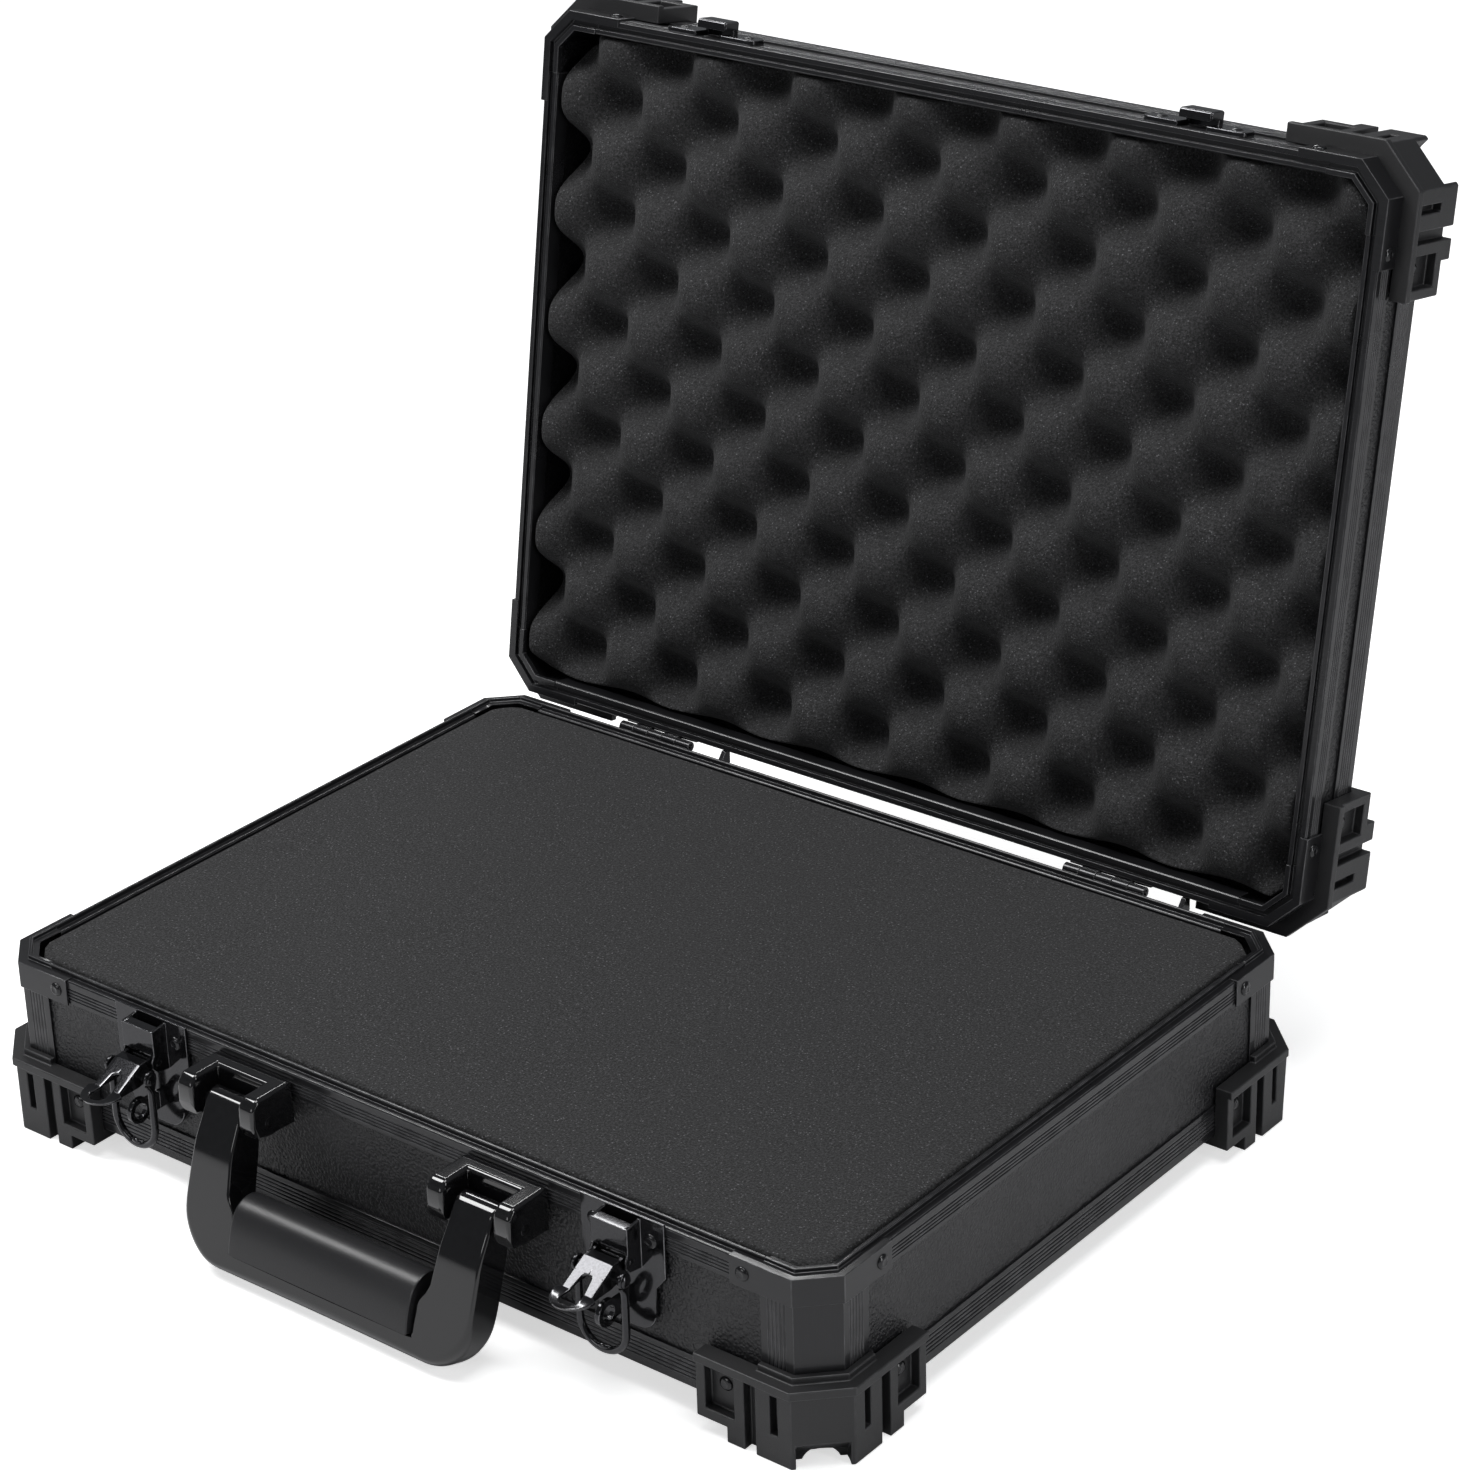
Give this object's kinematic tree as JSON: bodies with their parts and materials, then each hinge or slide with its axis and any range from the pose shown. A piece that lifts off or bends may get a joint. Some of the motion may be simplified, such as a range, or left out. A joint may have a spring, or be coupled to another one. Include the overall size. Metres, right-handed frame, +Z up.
{
  "type": "attache case",
  "caption": "Hard black attache case with ribbed aluminium frame, toggle latches, swinging handle, moulded corner bumpers and foam lining, lid standing open.",
  "frame": {"origin": "on the floor under the middle of the bounding box of the case as it stands open", "axes": "+X to the right seen from the front, +Y towards the hinged back, +Z up; the handle and latches face -Y"},
  "size_m": [0.477, 0.4936, 0.4288],
  "materials": {
    "panel_abs": "leather-grained black sheet",
    "frame_anodised": "black satin anodised extrusion",
    "bumper_plastic": "fine-textured matte black",
    "foam": "dark open-cell foam",
    "rivet_black": "black semi-gloss",
    "gloss_black_plastic": "glossy black",
    "grip_satin_plastic": "satin black",
    "pin_steel": "dark steel",
    "latch_black_metal": "glossy black plated steel",
    "hinge_black_metal": "black semi-gloss steel"
  },
  "bodies": {
    "base": {"base_bottom_panel": "panel_abs", "base_front_panel": "panel_abs", "base_back_panel": "panel_abs", "base_left_panel": "panel_abs", "base_right_panel": "panel_abs", "base_rim_front": "frame_anodised", "base_rim_back": "frame_anodised", "base_rim_left": "frame_anodised", "base_rim_right": "frame_anodised", "base_edge_rails": "frame_anodised", "base_corner_posts": "frame_anodised", "base_corner_caps": "frame_anodised", "base_bumper_front_left": "bumper_plastic", "base_bumper_front_right": "bumper_plastic", "base_bumper_back_left": "bumper_plastic", "base_bumper_back_right": "bumper_plastic", "base_foam": "foam", "base_rivets": "rivet_black", "hinge_base_leaf_left": "hinge_black_metal", "hinge_base_leaf_right": "hinge_black_metal", "hinge_pins": "pin_steel", "handle_bracket_left": "gloss_black_plastic", "handle_bracket_right": "gloss_black_plastic", "handle_pins": "pin_steel", "latch_plate_left": "latch_black_metal", "latch_plate_right": "latch_black_metal", "latch_pivot_pins": "pin_steel"},
    "lid": {"lid_top_panel": "panel_abs", "lid_front_panel": "panel_abs", "lid_back_panel": "panel_abs", "lid_left_panel": "panel_abs", "lid_right_panel": "panel_abs", "lid_rim_front": "frame_anodised", "lid_rim_back": "frame_anodised", "lid_rim_left": "frame_anodised", "lid_rim_right": "frame_anodised", "lid_edge_rails": "frame_anodised", "lid_corner_posts": "frame_anodised", "lid_corner_caps": "frame_anodised", "lid_bumper_front_left": "bumper_plastic", "lid_bumper_front_right": "bumper_plastic", "lid_bumper_back_left": "bumper_plastic", "lid_bumper_back_right": "bumper_plastic", "lid_foam": "foam", "lid_rivets": "rivet_black", "hinge_lid_leaf_left": "hinge_black_metal", "hinge_lid_leaf_right": "hinge_black_metal", "latch_striker_left": "latch_black_metal", "latch_striker_right": "latch_black_metal"},
    "handle": {"handle_frame": "gloss_black_plastic", "handle_grip": "grip_satin_plastic"},
    "latch_lever_left": {"latch_lever_left": "latch_black_metal"},
    "latch_rod_left": {"latch_rod_left": "latch_black_metal"},
    "latch_bail_left": {"latch_bail_left": "latch_black_metal"},
    "latch_lever_right": {"latch_lever_right": "latch_black_metal"},
    "latch_rod_right": {"latch_rod_right": "latch_black_metal"},
    "latch_bail_right": {"latch_bail_right": "latch_black_metal"}
  },
  "joints": [
    {"name": "lid_hinge", "type": "hinge", "parent": "base", "child": "lid", "pos_m": [0, 0.13932, 0.0832], "axis": [1, 0, 0], "range_deg": [0, 99.3]},
    {"name": "handle_hinge", "type": "hinge", "parent": "base", "child": "handle", "pos_m": [0, -0.21878, 0.0672], "axis": [-1, 0, 0], "range_deg": [0, 110]},
    {"name": "lever_left_pivot", "type": "hinge", "parent": "base", "child": "latch_lever_left", "pos_m": [-0.1325, -0.21098, 0.0665], "axis": [1, 0, 0], "range_deg": [-28, 61]},
    {"name": "rod_left_turn", "type": "hinge", "parent": "latch_lever_left", "child": "latch_rod_left", "pos_m": [-0.1325, -0.2189, 0.06325], "axis": [1, 0, 0], "range_deg": [-61, 28]},
    {"name": "bail_left_swing", "type": "hinge", "parent": "latch_rod_left", "child": "latch_bail_left", "pos_m": [-0.1325, -0.2189, 0.06325], "axis": [1, 0, 0], "range_deg": [-175, 6]},
    {"name": "lever_right_pivot", "type": "hinge", "parent": "base", "child": "latch_lever_right", "pos_m": [0.1325, -0.21098, 0.0665], "axis": [1, 0, 0], "range_deg": [-28, 61]},
    {"name": "rod_right_turn", "type": "hinge", "parent": "latch_lever_right", "child": "latch_rod_right", "pos_m": [0.1325, -0.2189, 0.06325], "axis": [1, 0, 0], "range_deg": [-61, 28]},
    {"name": "bail_right_swing", "type": "hinge", "parent": "latch_rod_right", "child": "latch_bail_right", "pos_m": [0.1325, -0.2189, 0.06325], "axis": [1, 0, 0], "range_deg": [-175, 6]}
  ],
  "couplings": [
    {"joint": "rod_left_turn", "follows": "lever_left_pivot", "ratio": -1},
    {"joint": "rod_right_turn", "follows": "lever_right_pivot", "ratio": -1}
  ]
}
